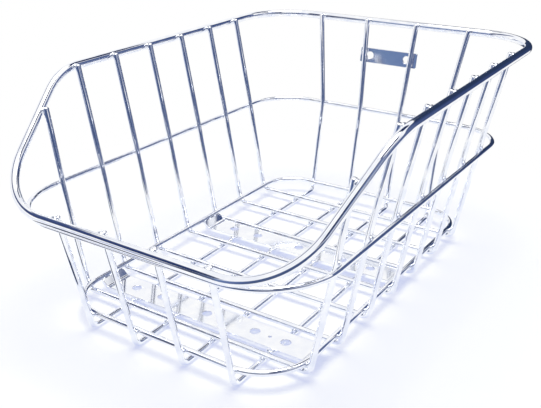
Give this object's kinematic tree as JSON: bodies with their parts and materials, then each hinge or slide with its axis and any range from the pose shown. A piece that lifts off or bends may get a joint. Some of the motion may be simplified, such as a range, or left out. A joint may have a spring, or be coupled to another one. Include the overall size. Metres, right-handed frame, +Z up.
{
  "type": "rear bicycle basket",
  "caption": "Open wire basket with a low front and a heavy round rim, and drilled floor bars that bolt it to a rear bicycle carrier.",
  "frame": {"origin": "on the ground the basket stands on, under the middle of its outer box", "axes": "+Z up, +Y towards the rear of the bicycle, from the low front wall to the tall rear wall, +X to the rider's right"},
  "size_m": [0.347, 0.4672, 0.2164],
  "materials": {
    "polished_steel_rod": "bright polished steel rod",
    "rolled_steel_plate": "smooth rolled steel flat, satin bright"
  },
  "bodies": {
    "root": {"rim": "polished_steel_rod", "middle_hoop": "polished_steel_rod", "base_hoop": "polished_steel_rod", "cross_wire_1": "polished_steel_rod", "cross_wire_2": "polished_steel_rod", "cross_wire_3": "polished_steel_rod", "cross_wire_4": "polished_steel_rod", "cross_wire_5": "polished_steel_rod", "cross_wire_6": "polished_steel_rod", "cross_wire_7": "polished_steel_rod", "long_wire_1": "polished_steel_rod", "long_wire_2": "polished_steel_rod", "long_wire_3": "polished_steel_rod", "long_wire_4": "polished_steel_rod", "front_bolt_bar": "rolled_steel_plate", "rear_bolt_bar": "rolled_steel_plate", "reflector_bracket": "rolled_steel_plate"}
  },
  "joints": []
}
